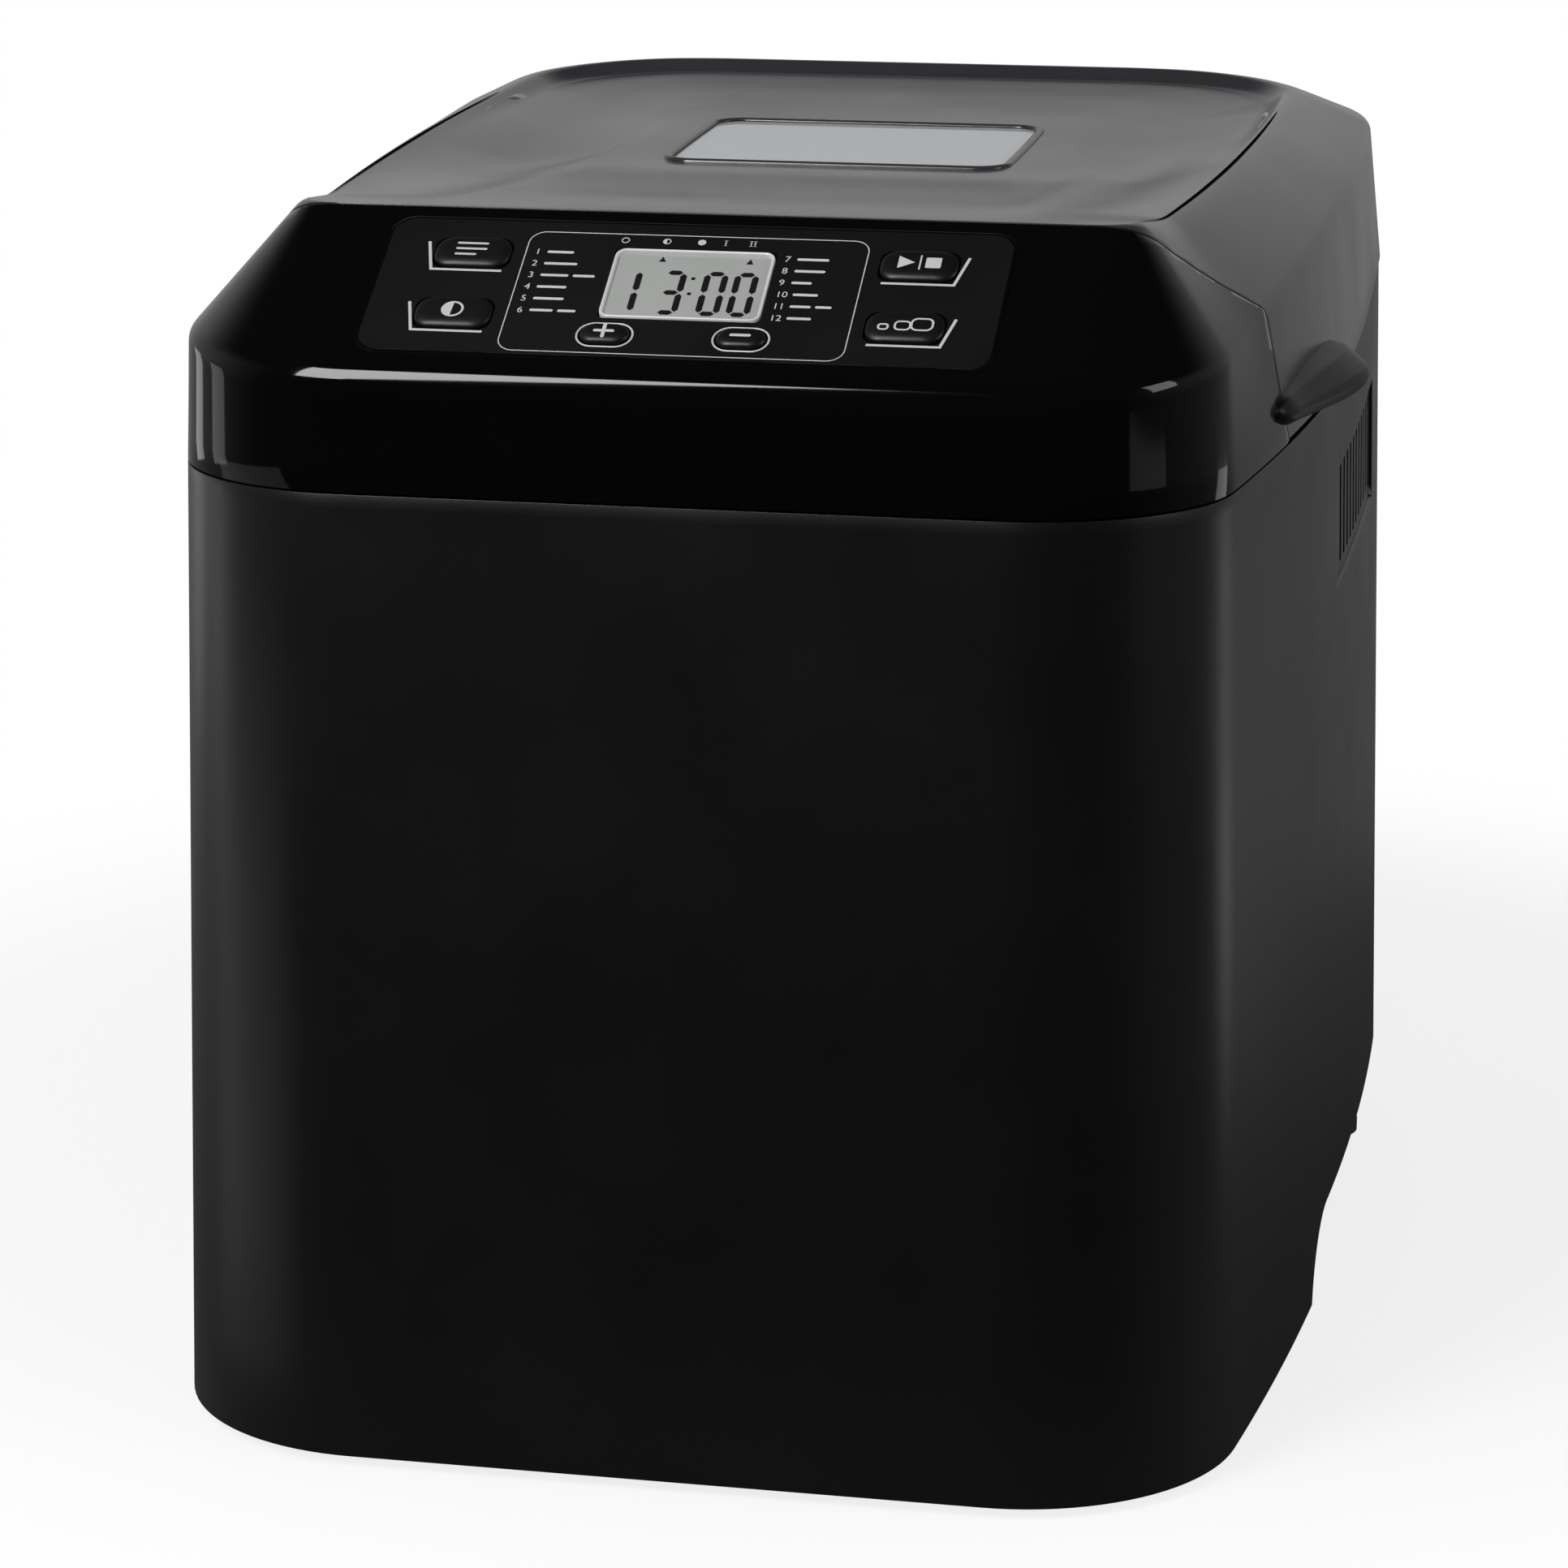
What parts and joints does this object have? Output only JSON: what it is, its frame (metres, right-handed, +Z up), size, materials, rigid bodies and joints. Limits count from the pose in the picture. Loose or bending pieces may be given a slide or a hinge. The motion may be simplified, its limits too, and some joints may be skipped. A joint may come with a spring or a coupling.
{
  "type": "bread machine",
  "caption": "Upright bread machine with a sloped control panel, rear-hinged lid with a window, lift-out pan with kneading paddle, heater and belt drive.",
  "frame": {"origin": "on the floor under the middle of the body's outline at its seam", "axes": "+Z up, front with the control panel towards -Y, +X to the right as seen from the front"},
  "size_m": [0.2525, 0.3349, 0.2647],
  "materials": {
    "body_satin_black": "satin black",
    "gloss_black": "high gloss black",
    "lid_gloss": "high gloss dark grey",
    "dark_grey": "satin dark grey",
    "button_black": "soft matte",
    "clear_glass": "clear",
    "display_grey": "liquid crystal",
    "circuit_green": "solder mask",
    "component_black": "moulded",
    "oven_steel": "aluminised sheet",
    "steel": "plain",
    "pan_coating": "non-stick coating",
    "cast_aluminium": "cast",
    "bronze": "sintered",
    "pulley_plastic": "nylon",
    "rubber": "matte",
    "silicone": "matte grey"
  },
  "bodies": {
    "body": {"body_shell": "body_satin_black", "base_plate": "body_satin_black", "base_screws": "steel", "foot_pads": "rubber", "cord_gland": "rubber", "control_housing": "gloss_black", "control_plate": "gloss_black", "display_lens": "clear_glass", "display_module": "display_grey", "control_board": "circuit_green", "board_screws": "steel", "tact_switches": "component_black", "top_deck": "body_satin_black", "deck_posts": "body_satin_black", "deck_screws": "steel", "baking_chamber": "oven_steel", "chamber_legs": "steel", "heating_element": "steel", "element_clips": "oven_steel", "heat_sensor": "steel", "pan_clips": "oven_steel", "bearing_housing": "cast_aluminium", "bearing_bushes": "bronze", "drive_belt": "rubber", "motor_body": "steel", "motor_bracket": "oven_steel", "motor_screws": "steel", "board_bracket": "oven_steel", "power_board": "circuit_green", "power_components": "component_black", "hinge_knuckles": "body_satin_black", "hinge_pins": "steel"},
    "lid": {"lid_shell": "lid_gloss", "lid_liner": "oven_steel", "lid_seal": "silicone", "lid_tab": "dark_grey", "hinge_arms": "body_satin_black", "window_pane": "clear_glass", "inner_glass": "clear_glass", "window_seal": "silicone", "window_tunnel": "body_satin_black"},
    "drive": {"drive_pulley": "pulley_plastic", "drive_shaft": "steel", "lower_coupling": "cast_aluminium"},
    "motor_rotor": {"motor_shaft": "steel", "motor_pulley": "pulley_plastic"},
    "pan": {"bread_pan": "pan_coating", "pan_base": "cast_aluminium", "pan_bearing": "cast_aluminium", "handle_pivots": "steel"},
    "handle": {"pan_handle": "steel"},
    "pan_rotor": {"pan_shaft": "steel", "upper_coupling": "cast_aluminium"},
    "paddle": {"kneading_paddle": "pan_coating"},
    "menu_button": {"menu_button": "button_black"},
    "crust_button": {"crust_button": "button_black"},
    "start_button": {"start_button": "button_black"},
    "loaf_size_button": {"loaf_size_button": "button_black"},
    "minus_button": {"minus_button": "button_black"},
    "plus_button": {"plus_button": "button_black"}
  },
  "joints": [
    {"name": "lid_hinge", "type": "hinge", "parent": "body", "child": "lid", "pos_m": [0, 0.1655, 0.2235], "axis": [-1, 0, 0], "range_deg": [0, 85]},
    {"name": "drive_spin", "type": "hinge", "parent": "body", "child": "drive", "pos_m": [0, -0.00507, 0.033], "axis": [0, 0, 1], "continuous": true},
    {"name": "motor_spin", "type": "hinge", "parent": "body", "child": "motor_rotor", "pos_m": [0, 0.123, 0.033], "axis": [0, 0, 1], "continuous": true},
    {"name": "pan_lift", "type": "slide", "parent": "body", "child": "pan", "axis": [0, 0, 1], "range_m": [0, 0.008]},
    {"name": "pan_handle_hinge", "type": "hinge", "parent": "pan", "child": "handle", "pos_m": [0, -0.00507, 0.1846], "axis": [-1, 0, 0], "range_deg": [0, 12]},
    {"name": "pan_shaft_spin", "type": "hinge", "parent": "pan", "child": "pan_rotor", "pos_m": [0, -0.00507, 0.08], "axis": [0, 0, 1], "continuous": true},
    {"name": "paddle_lift", "type": "slide", "parent": "pan_rotor", "child": "paddle", "axis": [0, 0, 1], "range_m": [0, 0.015]},
    {"name": "menu_button_press", "type": "slide", "parent": "body", "child": "menu_button", "axis": [0, 0.5266, -0.8501], "range_m": [0, 0.0008], "stiffness_N_per_m": 300},
    {"name": "crust_button_press", "type": "slide", "parent": "body", "child": "crust_button", "axis": [0, 0.5266, -0.8501], "range_m": [0, 0.0008], "stiffness_N_per_m": 300},
    {"name": "start_button_press", "type": "slide", "parent": "body", "child": "start_button", "axis": [0, 0.5266, -0.8501], "range_m": [0, 0.0008], "stiffness_N_per_m": 300},
    {"name": "loaf_size_button_press", "type": "slide", "parent": "body", "child": "loaf_size_button", "axis": [0, 0.5266, -0.8501], "range_m": [0, 0.0008], "stiffness_N_per_m": 300},
    {"name": "minus_button_press", "type": "slide", "parent": "body", "child": "minus_button", "axis": [0, 0.5266, -0.8501], "range_m": [0, 0.0008], "stiffness_N_per_m": 300},
    {"name": "plus_button_press", "type": "slide", "parent": "body", "child": "plus_button", "axis": [0, 0.5266, -0.8501], "range_m": [0, 0.0008], "stiffness_N_per_m": 300}
  ],
  "couplings": [
    {"joint": "motor_spin", "follows": "drive_spin", "ratio": 5.1026},
    {"joint": "pan_shaft_spin", "follows": "drive_spin", "ratio": 1}
  ]
}
